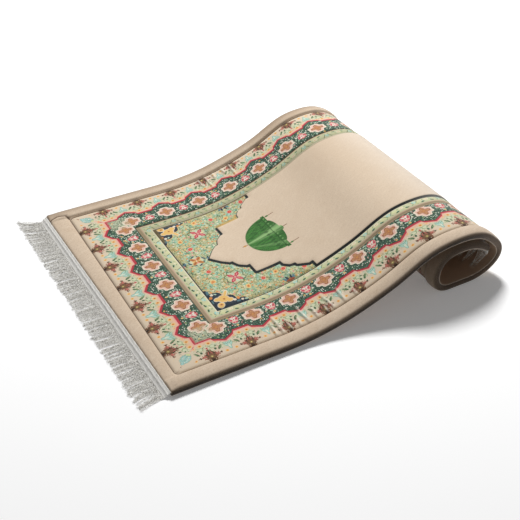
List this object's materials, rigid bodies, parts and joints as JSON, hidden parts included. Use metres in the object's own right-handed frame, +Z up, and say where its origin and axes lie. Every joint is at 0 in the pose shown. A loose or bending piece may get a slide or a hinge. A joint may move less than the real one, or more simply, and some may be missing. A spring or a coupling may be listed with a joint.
{
  "type": "prayer rug",
  "caption": "Padded velvet prayer rug with a fringe at both ends, lying flat at one end, rising in a wave and loosely rolled under at the other.",
  "frame": {"origin": "centre of the bounding box in plan, on the floor the rug lies on", "axes": "+X along the rug from the flat fringed end to the roll, +Y across it, +Z up from the floor"},
  "size_m": [0.9239, 0.7334, 0.1441],
  "materials": {
    "velvet": "short matt beige pile with printed borders, soft sheen at grazing angles",
    "backing": "matt taupe woven cloth",
    "fringe": "matt grey-white cotton"
  },
  "bodies": {
    "root": {"rug_pad": "velvet", "backing_sheet": "backing", "front_fringe": "fringe", "rear_fringe": "fringe"}
  },
  "joints": []
}
